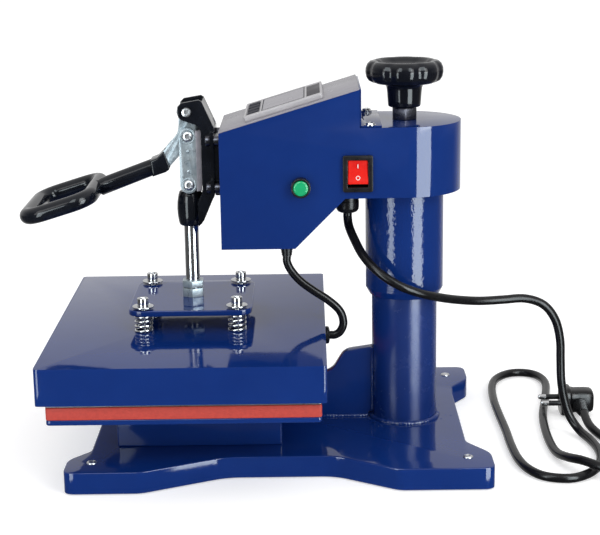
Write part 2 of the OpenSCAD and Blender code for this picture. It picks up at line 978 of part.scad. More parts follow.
module bolt_washers() {
    placed()
    color([0.82, 0.83, 0.85])
        at_bolts()
        ring(3 + fit, washer_r, plate_top + float_gap, plate_top + float_gap + 1.4);
}

// Each spring is a sleeve of its own outer and inner radius.
module springs() {
    placed()
    color([0.8, 0.81, 0.83])
        at_bolts()
        ring(spring_r - 2 * spring_wire, spring_r, cover_top, plate_top - plate_t - 0.2);
}

module cable_grommet() {
    placed()
    color([0.05, 0.05, 0.05])
        difference() {
            union() {
                bar_y(6.1, cover_rear - cover_t - 2, cover_rear + 0.5, 20, 102.8);
                bar_y(8, cover_rear, cover_rear + 4, 20, 102.8);
            }
            bar_y(2, cover_rear - 10, cover_rear + 1, 20, 102.8);
        }
}

// ---- handwheel ----

module handwheel() {
    z = wheel_z;
    placed()
    color([0.04, 0.04, 0.045])
        difference() {
            rotate_extrude()
                polygon([[spindle_r, z], [14, z], [15.2, z + 3], [16.4, z + 19], [22, z + 23],
                    [31, z + 25], [wheel_r - 1, z + 28], [wheel_r, z + 32], [wheel_r - 1, z + 37],
                    [wheel_r - 4.5, z + 40.5], [wheel_r - 9, z + 41], [wheel_r - 13, z + 38],
                    [spindle_r, z + 36]]);
            for (i = [0 : wheel_lobes - 1])
                rotate([0, 0, i * 360 / wheel_lobes])
                    translate([wheel_r + 7.5, 0, z + 18])
                    cylinder(r = 9.5, h = 30);
        }
}

module spindle() {
    placed()
    color([0.7, 0.71, 0.73])
        translate([0, 0, 180])
        cylinder(r = spindle_r, h = wheel_z + 33 - 180);
}

// ---- electrics ----

module control_board() {
    placed()
    color([0.05, 0.3, 0.12])
        on_panel()
        block([-36, 26, -9], [36, 88, -7.4]);
}

module relay() {
    placed()
    color([0.1, 0.1, 0.11])
        block([-arm_half_w + arm_t, -152, 200], [-arm_half_w + arm_t + 24, -106, 240]);
}

module mains_cord() {
    placed()
    color([0.04, 0.04, 0.045])
        tube(spline(cord_route, 2), cord_d / 2, 8);
}

module heater_cable() {
    placed()
    color([0.04, 0.04, 0.045])
        tube(spline(lead_route, 3), lead_d / 2, 8);
}

// Right-angle plug lying on the table: the cord enters along X, the pins point to -Y.
module plug() {
    placed()
    color([0.05, 0.05, 0.055])
        difference() {
            union() {
                bar_y(14, 152, 162, -51, 14);
                block([-62, 162, 3], [-40, 184, 25]);
                bar_x(6, -40, -18, 170, 12);
            }
            for (sx = [-1, 1])
                bar_y(2.4, 150, 156, -51 + sx * 9.5, 14);
        }
}

module plug_pins() {
    placed()
    color([0.7, 0.7, 0.7])
        for (sx = [-1, 1])
            bar_y(2.4, 133, 156, -51 + sx * 9.5, 14);
}

base_pan();
rubber_feet();
foot_screws();
column_tube();
column_weld();
column_gusset();
column_plug();
pedestal();
lower_platen();
platen_screws();
silicone_pad();
swivel_nut();
column_bushes();
column_sleeve();
arm_housing();
rear_cover();
control_panel();
controller_bezel();
display_window();
controller_keys();
head_nut();
cover_screws();
switch_bezel();
switch_rocker();
button_collar();
button_cap();
mains_gland();
heater_gland();
toggle_bracket();
bracket_bolts();
plunger_guide();
upper_pivot_pin();
control_board();
relay();
lever_plates();
handle_shaft();
handle_loop();
elbow_bolts();
toggle_links();
link_pin();
fork_pin();
plunger_rod();
plunger_fork();
rod_nuts();
mount_plate();
platen_cover();
heating_platen();
heating_element();
insulation_board();
spring_bolts();
bolt_washers();
springs();
cable_grommet();
handwheel();
spindle();
mains_cord();
plug();
plug_pins();
heater_cable();
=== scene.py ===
import bpy, bmesh, json, math, random
from mathutils import Matrix, Vector, noise


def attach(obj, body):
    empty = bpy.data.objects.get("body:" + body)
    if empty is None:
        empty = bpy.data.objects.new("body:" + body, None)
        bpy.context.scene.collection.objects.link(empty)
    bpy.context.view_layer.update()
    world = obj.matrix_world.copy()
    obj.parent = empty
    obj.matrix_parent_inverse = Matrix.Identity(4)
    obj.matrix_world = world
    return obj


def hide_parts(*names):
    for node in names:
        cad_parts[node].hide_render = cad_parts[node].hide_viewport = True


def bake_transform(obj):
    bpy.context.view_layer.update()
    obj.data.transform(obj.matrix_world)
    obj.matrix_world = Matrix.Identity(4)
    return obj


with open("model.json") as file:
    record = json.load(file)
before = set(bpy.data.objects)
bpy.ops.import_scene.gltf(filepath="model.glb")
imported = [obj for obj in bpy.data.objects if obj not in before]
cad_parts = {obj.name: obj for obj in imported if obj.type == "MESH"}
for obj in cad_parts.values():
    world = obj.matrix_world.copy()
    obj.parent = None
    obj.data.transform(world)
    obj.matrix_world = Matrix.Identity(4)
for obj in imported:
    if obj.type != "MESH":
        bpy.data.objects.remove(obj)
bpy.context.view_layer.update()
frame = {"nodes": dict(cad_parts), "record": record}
BODY = {n: b for b, nodes in frame["record"]["behaviour"]["bodies"].items() for n in nodes}
random.seed(7)

# All of these are millimetres from the column's axis, as the CAD's modules have them.
PLACED_Y = 135.5  # the column's axis lies here in the row frame
PRESS_Y = -192.0  # the plunger's axis
BOLT_X, BOLT_Y = 45.5, 41.5  # the spring bolts, on either side of the plunger
BASE_TOP = 20
FOOT_HOLES = ((118, -275), (115, 48))  # the right-hand pair
FOOT_WELD_R = 30.4
PIVOT_Z, LINK_PIN_Z, FORK_PIN_Z = 306.6, 284.6, 241.1
BRACKET_HALF, LINKS_HALF = 18, 14.5
GUIDE_LOW = 202.6
WHEEL_LOW = 306.8
BEZEL_FACE = 5.9  # above the sloping panel's line
SWITCH = (42, -43, 256)
BUTTON = (40, -92.5, 245.1)
MAINS_EXIT = (0, -51, 212)
HEATER_EXIT = (18, -106, 176)
COVER_ENTRY = (20, -72.5, 102.8)
CORD_END = (0, 170, 12)
PLUG_X, PLUG_Z, PIN_TIP_Y, PIN_HALF_GAP = -51, 14, 133, 9.5


def P(x, y, z):
    """A point in millimetres from the column's axis, as the CAD's modules have it, in the row frame."""
    return Vector((x / 1000, (y + PLACED_Y) / 1000, z / 1000))


# ---- camera ----

def make_camera():
    """Looks at the press from its right, from a little above, as the photograph does."""
    pitch, yaw, roll = math.radians(13.875), math.radians(0.406), math.radians(0.882)
    look = Vector((-math.cos(pitch) * math.cos(yaw), -math.cos(pitch) * math.sin(yaw), -math.sin(pitch)))
    right = look.cross(Vector((0, 0, 1))).normalized()
    up = right.cross(look)
    c, s = math.cos(roll), math.sin(roll)
    x_axis, y_axis = c * right - s * up, s * right + c * up
    data = bpy.data.cameras.new("camera")
    data.sensor_width = 36
    data.lens = 94.754
    data.clip_start, data.clip_end = 0.05, 60
    cam = bpy.data.objects.new("camera", data)
    bpy.context.scene.collection.objects.link(cam)
    m = Matrix((x_axis, y_axis, -look)).transposed().to_4x4()
    m.translation = P(1392.0, -84.7, 504.8)
    cam.matrix_world = m
    bpy.context.scene.camera = cam


make_camera()
bpy.context.scene.view_settings.view_transform = "Standard"


# ---- materials ----

class Nodes:
    """A material's node tree, with short ways to add what the materials below share."""

    def __init__(self, name):
        self.mat = bpy.data.materials.new(name)
        self.mat.use_nodes = True
        self.tree = self.mat.node_tree
        self.bsdf = self.tree.nodes["Principled BSDF"]
        self.coord = self.tree.nodes.new("ShaderNodeTexCoord").outputs["Object"]

    def new(self, kind, **values):
        n = self.tree.nodes.new(kind)
        for key, value in values.items():
            if hasattr(n, key):
                setattr(n, key, value)
            else:
                n.inputs[key].default_value = value
        return n

    def link(self, a, b):
        self.tree.links.new(a, b)

    def noise(self, scale, detail, rough=0.5, stretch=None):
        n = self.new("ShaderNodeTexNoise", Scale=scale, Detail=detail, Roughness=rough)
        source = self.coord
        if stretch:
            m = self.new("ShaderNodeMapping", Scale=stretch)
            self.link(self.coord, m.inputs["Vector"])
            source = m.outputs["Vector"]
        self.link(source, n.inputs["Vector"])
        return n.outputs["Fac"]

    def ramp(self, fac, low, high, a, b):
        r = self.new("ShaderNodeMapRange")
        r.inputs["From Min"].default_value, r.inputs["From Max"].default_value = low, high
        r.inputs["To Min"].default_value, r.inputs["To Max"].default_value = a, b
        self.link(fac, r.inputs["Value"])
        return r.outputs["Result"]

    def mix(self, fac, a, b):
        m = self.new("ShaderNodeMix", data_type="RGBA")
        for key, value in (("A", a), ("B", b)):
            socket = [i for i in m.inputs if i.name == key and i.type == "RGBA"][0]
            if isinstance(value, tuple):
                socket.default_value = (*value, 1)
            else:
                self.link(value, socket)
        self.link(fac, m.inputs["Factor"])
        return [o for o in m.outputs if o.type == "RGBA"][0]

    def bump(self, *layers):
        """Layers of (height, distance in metres); each stands on the one before."""
        normal = None
        for height, distance in layers:
            b = self.new("ShaderNodeBump", Strength=1.0, Distance=distance)
            self.link(height, b.inputs["Height"])
            if normal:
                self.link(normal, b.inputs["Normal"])
            normal = b.outputs["Normal"]
        self.link(normal, self.bsdf.inputs["Normal"])


def surface(name, low, high, rough, scale, metal=0.0, specular=0.5, bumps=((900, 0.00001),), stretch=None):
    """A material whose colour wanders between low and high and its roughness between two values."""
    n = Nodes(name)
    n.bsdf.inputs["Metallic"].default_value = metal
    n.bsdf.inputs["Specular IOR Level"].default_value = specular
    fac = n.ramp(n.noise(scale, 4.0, 0.6, stretch), 0.3, 0.7, 0.0, 1.0)
    n.link(n.mix(fac, low, high), n.bsdf.inputs["Base Color"])
    n.link(n.ramp(n.noise(45, 5.0, 0.65, stretch), 0.3, 0.7, *rough), n.bsdf.inputs["Roughness"])
    n.bump(*[(n.noise(s, 2.0, 0.5, stretch), d) for s, d in bumps])
    return n.mat


def paint_blue(name, peel, gloss=(0.035, 0.11)):
    """Thick gloss enamel: orange peel, fine dust in the film and a little wear."""
    n = Nodes(name)
    n.bsdf.inputs["Specular IOR Level"].default_value = 0.42
    fac = n.ramp(n.noise(14, 5.0, 0.6), 0.3, 0.7, 0.0, 1.0)
    base = n.mix(fac, (0.0035, 0.0225, 0.142), (0.0050, 0.0285, 0.168))
    specks = n.ramp(n.noise(1500, 1.0, 0.4), 0.74, 0.8, 0.0, 0.25)
    n.link(n.mix(specks, base, (0.10, 0.12, 0.2)), n.bsdf.inputs["Base Color"])
    n.link(n.ramp(n.noise(30, 6.0, 0.7), 0.3, 0.75, *gloss), n.bsdf.inputs["Roughness"])
    n.bump((n.noise(55, 2.0, 0.5), 0.00006), (n.noise(420, 1.0, 0.5), 0.000006),
           (n.noise(300, 2.0, 0.5), peel))
    return n.mat


def zinc():
    """Dull blue-white zinc plate with patches left by the bath and fine scratches."""
    n = Nodes("zinc")
    n.bsdf.inputs["Metallic"].default_value = 0.45
    patches = n.ramp(n.noise(110, 5.0, 0.65), 0.32, 0.68, 0.0, 1.0)
    n.link(n.mix(patches, (0.24, 0.30, 0.34), (0.46, 0.52, 0.55)), n.bsdf.inputs["Base Color"])
    n.link(n.ramp(n.noise(240, 4.0, 0.6), 0.3, 0.7, 0.24, 0.42), n.bsdf.inputs["Roughness"])
    n.bump((n.noise(700, 2.0, 0.5, (1, 0.15, 1)), 0.00002), (n.noise(160, 3.0, 0.5), 0.00003))
    return n.mat


MAT = {
    "paint": paint_blue("paint_blue", 0.000002),
    "paint_rough": paint_blue("paint_blue_rough", 0.00025),
    "paint_soft": paint_blue("paint_blue_soft", 0.00003, (0.19, 0.33)),
    "zinc": zinc(),
}

for name, low, high, rough, rest in (
        ("silicone", (0.40, 0.036, 0.025), (0.49, 0.047, 0.031), (0.55, 0.75),
         dict(specular=0.3, scale=260, bumps=((380, 0.00035), (1300, 0.00015)))),
        ("chrome", (0.50, 0.51, 0.52), (0.62, 0.62, 0.63), (0.05, 0.14), dict(metal=1.0, scale=180)),
        ("steel", (0.44, 0.45, 0.46), (0.58, 0.58, 0.60), (0.22, 0.4),
         dict(metal=1.0, scale=220, bumps=((900, 0.00002),))),
        # the link plates' rear edges: a lighter lilac grey than the zinc, a painted reflection
        ("painted_sheen_edge", (0.40, 0.39, 0.44), (0.52, 0.51, 0.56), (0.25, 0.4), dict(specular=0.6, scale=150)),
        ("dark_steel", (0.05, 0.05, 0.06), (0.12, 0.12, 0.14), (0.18, 0.34),
         dict(metal=1.0, scale=200, bumps=((600, 0.00002),))),
        ("thread", (0.16, 0.16, 0.17), (0.34, 0.34, 0.36), (0.25, 0.45), dict(metal=1.0, scale=300)),
        ("black_paint", (0.003, 0.004, 0.007), (0.007, 0.009, 0.014), (0.05, 0.13),
         dict(specular=0.30, scale=70, bumps=((110, 0.00005), (700, 0.000012)))),
        ("grip", (0.003, 0.004, 0.007), (0.007, 0.008, 0.013), (0.06, 0.13),
         dict(specular=0.30, scale=50, bumps=((70, 0.00008), (600, 0.00001)))),
        ("moulded", (0.006, 0.006, 0.007), (0.014, 0.014, 0.016), (0.22, 0.34),
         dict(specular=0.28, scale=150, bumps=((1300, 0.00003),))),
        ("cord", (0.004, 0.004, 0.005), (0.009, 0.009, 0.010), (0.16, 0.26),
         dict(specular=0.24, scale=120, bumps=((160, 0.00006), (1500, 0.00002)))),
        ("rubber", (0.012, 0.012, 0.012), (0.03, 0.03, 0.03), (0.6, 0.85),
         dict(specular=0.3, scale=200, bumps=((900, 0.00006),))),
        ("panel", (0.25, 0.24, 0.275), (0.275, 0.265, 0.30), (0.2, 0.28), dict(specular=0.35, scale=90)),
        ("bezel", (0.42, 0.41, 0.43), (0.49, 0.48, 0.50), (0.3, 0.42),
         dict(scale=140, bumps=((1500, 0.00002),))),
        ("window", (0.020, 0.018, 0.026), (0.035, 0.03, 0.042), (0.25, 0.4), dict(specular=0.08, scale=40)),
        ("key", (0.020, 0.020, 0.028), (0.045, 0.045, 0.06), (0.45, 0.6), dict(specular=0.06, scale=200)),
        ("red", (0.62, 0.010, 0.008), (0.74, 0.018, 0.010), (0.12, 0.22), dict(specular=0.35, scale=90)),
        ("green", (0.004, 0.33, 0.12), (0.006, 0.42, 0.16), (0.15, 0.28), dict(scale=90)),
        ("white", (0.80, 0.74, 0.72), (0.90, 0.86, 0.84), (0.3, 0.4), dict(scale=200)),
        ("brass", (0.55, 0.40, 0.16), (0.68, 0.52, 0.24), (0.2, 0.35), dict(metal=1.0, scale=180)),
        ("nylon", (0.70, 0.69, 0.64), (0.78, 0.77, 0.72), (0.4, 0.5), dict(scale=150)),
        ("board", (0.015, 0.12, 0.045), (0.03, 0.18, 0.07), (0.3, 0.45), dict(scale=400)),
        ("aluminium", (0.58, 0.58, 0.60), (0.70, 0.70, 0.72), (0.25, 0.4),
         dict(metal=1.0, scale=150, stretch=(1, 12, 1))),
        ("fibre", (0.66, 0.62, 0.52), (0.78, 0.75, 0.66), (0.8, 0.95),
         dict(scale=300, bumps=((700, 0.0002),)))):
    MAT[name] = surface(name, low, high, rough, **rest)

USES = {
    "paint": "base_pan column_gusset pedestal lower_platen arm_housing rear_cover mount_plate platen_cover",
    "paint_rough": "column_sleeve column_weld",
    "paint_soft": "column_tube",
    "zinc": "lever_plates toggle_links foot_screws rod_nuts platen_screws plug_pins",
    "chrome": "upper_pivot_pin link_pin fork_pin plunger_rod spring_bolts bolt_washers springs cover_screws",
    "steel": "column_plug heating_element",
    "dark_steel": "head_nut bracket_bolts",
    "thread": "spindle elbow_bolts",
    "black_paint": "toggle_bracket plunger_guide plunger_fork handle_shaft handle_loop handwheel",
    "moulded": "switch_bezel button_collar mains_gland heater_gland relay cable_grommet",
    "cord": "mains_cord heater_cable plug",
    "rubber": "rubber_feet",
    "silicone": "silicone_pad",
    "panel": "control_panel",
    "bezel": "controller_bezel",
    "window": "display_window",
    "key": "controller_keys",
    "red": "switch_rocker",
    "green": "button_cap",
    "brass": "swivel_nut",
    "nylon": "column_bushes",
    "board": "control_board",
    "aluminium": "heating_platen",
    "fibre": "insulation_board",
}
USES = {node: name for name, nodes in USES.items() for node in nodes.split()}


# ---- making pieces ----

SHARP = math.radians(28)  # an edge that folds by less than this isn't rounded


def add(name, bm, material, body=None, stands_for=(), angle=32):
    """A mesh piece from a bmesh, in the row frame, riding on a body, smooth below an angle in degrees."""
    bmesh.ops.recalc_face_normals(bm, faces=bm.faces)
    mesh = bpy.data.meshes.new(name)
    bm.to_mesh(mesh)
    bm.free()
    for p in mesh.polygons:
        p.use_smooth = True
    mesh.set_sharp_from_angle(angle=math.radians(angle))
    obj = bpy.data.objects.new(name, mesh)
    bpy.context.scene.collection.objects.link(obj)
    mesh.materials.append(MAT[material])
    if stands_for:
        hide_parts(*stands_for)
    if body:
        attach(obj, body)
    return obj


def restyle(node, width, pick=None, segments=3, trim=None):
    """A copy of a CAD part with its edges rounded by a width in millimetres.

    pick(middle) chooses the edges by their middle, in CAD millimetres. trim is a point and a direction,
    and what lies beyond that plane is cut off.
    """
    source = frame["nodes"][node]
    bm = bmesh.new()
    bm.from_mesh(source.data)
    bm.transform(source.matrix_world)
    bmesh.ops.remove_doubles(bm, verts=bm.verts, dist=2e-6)
    bmesh.ops.dissolve_limit(bm, angle_limit=math.radians(0.4), verts=bm.verts, edges=bm.edges)
    if trim:
        cut = bmesh.ops.bisect_plane(bm, geom=bm.verts[:] + bm.edges[:] + bm.faces[:], plane_co=trim[0],
                                     plane_no=trim[1], clear_outer=True)["geom_cut"]
        bmesh.ops.holes_fill(bm, edges=[g for g in cut if isinstance(g, bmesh.types.BMEdge)])
    if width:
        chosen = []
        for e in bm.edges:
            if len(e.link_faces) != 2 or e.calc_face_angle(0) < SHARP:
                continue
            m = (e.verts[0].co + e.verts[1].co) * 500
            if pick is None or pick(Vector((m.x, m.y - PLACED_Y, m.z))):
                chosen.append(e)
        bmesh.ops.bevel(bm, geom=chosen, offset=width / 1000, segments=segments, profile=0.5,
                        affect="EDGES", clamp_overlap=True)
    add(node + "_piece", bm, USES[node], BODY[node], (node,))


def rings(bm, sections, closed=False):
    """Skin a list of equal rings of points: with a cap at each end, or closed, back to the first ring."""
    rows = [[bm.verts.new(p) for p in ring] for ring in sections]
    n = len(rows[0])
    pairs = list(zip(rows, rows[1:])) + ([(rows[-1], rows[0])] if closed else [])
    for a, b in pairs:
        for k in range(n):
            bm.faces.new((a[k], a[(k + 1) % n], b[(k + 1) % n], b[k]))
    if not closed:
        bm.faces.new(rows[0])
        bm.faces.new(rows[-1])


def lathe(bm, profile, centre, axis=(0, 0, 1), sides=64, shape=None, closed=False):
    """Turn (radius, height) pairs about an axis through centre, all in CAD millimetres.

    shape(radius, angle) may change the radius on its way round. A closed profile makes a ring.
    """
    turn = Vector((0, 0, 1)).rotation_difference(Vector(axis)).to_matrix()
    origin = P(*centre)
    sections = []
    for r, h in profile:
        ring = []
        for k in range(sides):
            a = 2 * math.pi * k / sides
            reach = shape(r, a) if shape else r
            ring.append(origin + turn @ Vector((reach * math.cos(a), reach * math.sin(a), h)) / 1000)
        sections.append(ring)
    rings(bm, sections, closed)


def spline(points, steps):
    """Catmull-Rom through points, as the CAD draws its cords."""
    out = []
    n = len(points) - 1
    for i in range(n):
        a, b, c, d = (points[max(i - 1, 0)], points[i], points[i + 1], points[min(i + 2, n)])
        for k in range(steps):
            s = k / steps
            out.append(0.5 * (2 * b + (c - a) * s + (2 * a - 5 * b + 4 * c - d) * s * s
                              + (3 * b - a - 3 * c + d) * s * s * s))
    return out + [points[-1]]


def sweep(bm, path, radius, sides=20, closed=False, taper=None):
    """A round bar along a path, with a radius in millimetres that taper(0 to 1 along it) may scale."""
    n = len(path)
    side = None
    sections = []
    for i, p in enumerate(path):
        before = path[(i - 1) % n] if closed else path[max(i - 1, 0)]
        after = path[(i + 1) % n] if closed else path[min(i + 1, n - 1)]
        t = (after - before).normalized()
        if side is None:
            side = t.orthogonal().normalized()
        side = (side - side.dot(t) * t).normalized()
        up = t.cross(side)
        r = radius * (taper(i / (n - 1)) if taper else 1) / 1000
        sections.append([p + r * (math.cos(2 * math.pi * k / sides) * side
                                  + math.sin(2 * math.pi * k / sides) * up) for k in range(sides)])
    rings(bm, sections, closed)


# ---- cords ----

def make_mains_cord():
    """From the gland down to the floor, round in one loop and back to the plug."""
    route = [
        (0, -51, 226), (0, -51, 218), (0, -51, 211.3), (0, -51, 209.4), (0, -51, 207.4), (4, -50, 200),
        (14, -46, 191), (29, -38, 178), (42, -25, 166),
        (48, -7, 155), (44, 11, 147), (33, 29, 140), (20, 47, 134), (10, 68, 130),
        (3, 90, 129), (0, 110, 129), (0, 127, 123), (0, 138, 109), (0, 143, 90),
        (0, 144, 70), (1, 145, 50), (2, 148, 33), (5, 153, 17), (14, 161, 6),
        (32, 167, 4), (54, 170, 4), (77, 169, 4), (99, 163, 4), (117, 151, 4),
        (127, 134, 4), (122, 114, 4), (105, 102, 4), (80, 96, 4), (45, 94, 4),
        (5, 94, 4), (-40, 93, 4), (-85, 93, 4), (-124, 96, 4), (-149, 103, 4),
        (-166, 117, 4), (-169, 133, 4), (-159, 146, 4), (-134, 151, 4), (-92, 145, 4),
        (-40, 135, 4), (0, 131, 4), (40, 130, 4), (68, 132, 5), (90, 138, 9),
        (108, 148, 12.6), (123, 162, 12), (132, 180, 8), (130, 200, 4), (114, 213, 4),
        (90, 213, 4), (66, 202, 4), (44, 189, 4), (22, 179, 4), (2, 172, 7),
        (-17.8, 170, 12)]
    path = spline([P(*q) for q in route], 6)
    bm = bmesh.new()
    sweep(bm, path, 4.0, 20)
    cord = add("mains_cord_piece", bm, "cord", None, ("mains_cord",))
    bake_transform(cord)
    make_plug()


def make_plug():
    """The plug's body, the ribbed relief behind it, its two pins and the sleeves on them."""
    def squared(turn):
        return math.copysign(abs(turn) ** 0.55, turn)

    bm = bmesh.new()
    angles = [2 * math.pi * k / 40 for k in range(40)]
    corners = [(squared(math.cos(a)), squared(math.sin(a))) for a in angles]
    sizes = ((152.6, 12.2, 12.2), (152.9, 13.4, 13.4), (154.5, 13.9, 13.9), (160.5, 13.9, 13.9),
             (161.8, 13.3, 13.3), (162.6, 11.6, 11.8), (166, 10.8, 11.2), (170, 10.9, 11.2),
             (176, 10.9, 11.2), (181, 10.6, 10.8), (183.2, 9.4, 9.6), (184, 7.0, 7.2))
    rings(bm, [[P(PLUG_X + w * cx, y, PLUG_Z + h * cz) for cx, cz in corners] for y, w, h in sizes])
    body = add("plug_body", bm, "cord", "root", ("plug",), 50)

    bm = bmesh.new()
    profile = [(7.2, -42)]
    for k in range(6):
        r = 7.0 - 0.38 * k
        x = -38.5 + 3.4 * k
        profile += [(r, x), (r, x + 2.0), (r - 0.9, x + 2.3), (r - 0.9, x + 3.1)]
    profile += [(4.7, -18.1), (4.1, -18.0)]
    lathe(bm, profile, CORD_END, (1, 0, 0), 28)
    relief = add("plug_relief", bm, "cord", "root")

    pins, sleeves = bmesh.new(), bmesh.new()
    for side in (-1, 1):
        tip = (PLUG_X + PIN_HALF_GAP * side, PIN_TIP_Y, PLUG_Z)
        lathe(pins, [(1.0, 0), (2.0, 0.5), (2.4, 1.8), (2.4, 21)], tip, (0, 1, 0), 20)
        lathe(sleeves, [(2.45, 7.5), (2.55, 7.7), (2.55, 20.5)], tip, (0, 1, 0), 20)
    return [body, relief, add("plug_pins_piece", pins, "chrome", "root", ("plug_pins",)),
            add("plug_pin_sleeves", sleeves, "moulded", "root")]


def make_heater_cable():
    """The short lead that hangs between the housing and the platen's cover."""
    route = [
        (18, -106, 188), (18, -106, 182), (18, -106, 175.9), (18, -106, 171), (18, -102.5, 163),
        (19, -94, 153), (20, -82, 144), (20, -69, 135), (20, -59, 125), (20, -56, 114), (20, -59, 106),
        (20, -63.5, 103), (20, -66.5, 102.8), (20, -68.1, 102.8), (20, -76, 102.8), (20, -84, 102.8)]
    path = spline([P(*q) for q in route], 6)
    bm = bmesh.new()
    sweep(bm, path, 3.75, 18)
    cable = add("heater_cable_piece", bm, "cord", None, ("heater_cable",))
    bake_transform(cable)


make_mains_cord()
make_heater_cable()


# ---- the carried-over parts, with their edges rounded ----

def near_foot_hole(m):
    return any(math.hypot(abs(m.x) - x, m.y - y) < 8 for x, y in FOOT_HOLES)


def near_bolt(m):
    return math.hypot(abs(m.x) - BOLT_X, abs(m.y - PRESS_Y) - BOLT_Y) <= 5


def housing_edge(m):
    """The housing's outside corners: its front uprights, top and bottom rims, but not the openings."""
    x = abs(m.x)
    if m.y < -161.5 and m.z < 291:
        return True
    if x > 49.2 and m.y < -1 and (m.z < 234.5 or (m.y > -38 and m.z > 295)):
        return True
    rim = math.hypot(m.x, m.y) > 49
    return rim and (m.z > 295.2 and m.y > -1 or m.z < 234.2 and m.y >= -1)


def make_steelwork():
    restyle("base_pan", 3.6, lambda m: m.z > BASE_TOP - 0.1 and not near_foot_hole(m), 5)
    restyle("column_gusset", 0.9, lambda m: m.z > 24)
    restyle("pedestal", 1.6, lambda m: abs(m.x) > 79.5 or m.y < -256.5 or m.y > -112.5)
    restyle("lower_platen", 1.2, lambda m: abs(m.x) > 149 or abs(m.y - PRESS_Y) > 114)
    restyle("mount_plate", 0.8, lambda m: math.hypot(m.x, m.y - PRESS_Y) > 12 and not near_bolt(m))
    restyle("platen_cover", 2.4, lambda m: abs(m.x) > 155.2 or abs(m.y + 193.5) > 120.2, 4)
    restyle("arm_housing", 2.4, housing_edge, 4)
    restyle("handle_shaft", 2.2, lambda m: abs(m.x) > 12.3)
    restyle("toggle_bracket", 0.7, trim=(P(0, -168.3, 234.3), Vector((0, 0.917, -0.399))))
    for width, nodes in (
            (0, "column_tube column_sleeve spindle plunger_rod elbow_bolts"),
            (0.3, "display_window"),
            (0.35, "bolt_washers"),
            (0.4, "lever_plates rubber_feet platen_screws swivel_nut column_bushes column_plug control_board "
                  "relay heating_platen heating_element insulation_board"),
            (0.5, "rear_cover control_panel controller_bezel spring_bolts toggle_links plunger_fork"),
            (0.6, "controller_keys head_nut bracket_bolts button_collar"),
            (0.7, "rod_nuts"),
            (0.9, "silicone_pad"),
            (1.0, "switch_bezel")):
        for node in nodes.split():
            restyle(node, width)


make_steelwork()


# ---- pieces with their own shape ----

def make_springs():
    """Four compression springs. The last 0.75 turn at each end lies flat."""
    turns, steps, flat = 4.6, 150, 0.75
    low, high, coil_r, wire_r = 117.1, 130.3, 7.1, 1.15
    bm = bmesh.new()
    for sx in (-1, 1):
        for sy in (-1, 1):
            points = []
            for i in range(steps + 1):
                u = i / steps
                rise = min(max((u * turns - flat) / (turns - 2 * flat), 0), 1)
                a = 2 * math.pi * turns * u + (0.7 if sx > 0 else 2.1)
                points.append(P(sx * BOLT_X + coil_r * math.cos(a),
                                PRESS_Y + sy * BOLT_Y + coil_r * math.sin(a), low + (high - low) * rise))
            sweep(bm, points, wire_r, 12)
    springs = add("coil_springs", bm, "chrome", None, ("springs",))
    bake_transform(springs)


def make_handwheel():
    """A moulded wheel with eight lobes, the nut in its top, and the screw thread below it."""
    profile = [(8.2, 0.0), (13.0, 0.0), (14.0, 0.5), (14.5, 1.8), (14.8, 6), (15.2, 12), (15.7, 16.5),
               (16.6, 19.2), (18.6, 20.3), (23, 20.9), (28, 21.6), (31.6, 23.4), (33.6, 26.6), (34.4, 30.8),
               (34.1, 34.8), (32.6, 38.2), (30.2, 40.3), (27.4, 40.9), (24.8, 40.0), (22.6, 38.2),
               (20, 36.6), (15, 35.2), (9, 34.6), (2, 34.4)]
    hub_r, lobe_depth = 19, 2.1

    def lobes(r, a):
        if r < hub_r:
            return r
        reach = min((r - hub_r) / 12, 1)
        dip = 0.5 - 0.5 * math.cos(8 * a + 0.35)
        return r - reach * lobe_depth * dip ** 3

    bm = bmesh.new()
    lathe(bm, profile, (0, 0, WHEEL_LOW), sides=192, shape=lobes)
    add("handwheel_grip", bm, "grip", "handwheel", ("handwheel",), 60)
    bm = bmesh.new()
    lathe(bm, [(7.6, 33.0), (8.0, 33.2), (8.0, 34.9), (7.2, 35.6), (2, 35.8)], (0, 0, WHEEL_LOW))
    add("handwheel_nut", bm, "thread", "handwheel")
    bm = bmesh.new()
    root_r, crest_r, pitch = 8.0, 8.55, 1.4
    thread = [(root_r, 296)]
    for k in range(7):
        h = 297 + k * pitch
        thread += [(root_r, h), (crest_r, h + 0.45), (root_r, h + 0.9)]
    lathe(bm, thread + [(root_r, WHEEL_LOW - 0.1)], (0, 0, 0))
    add("spindle_thread", bm, "thread", "handwheel")


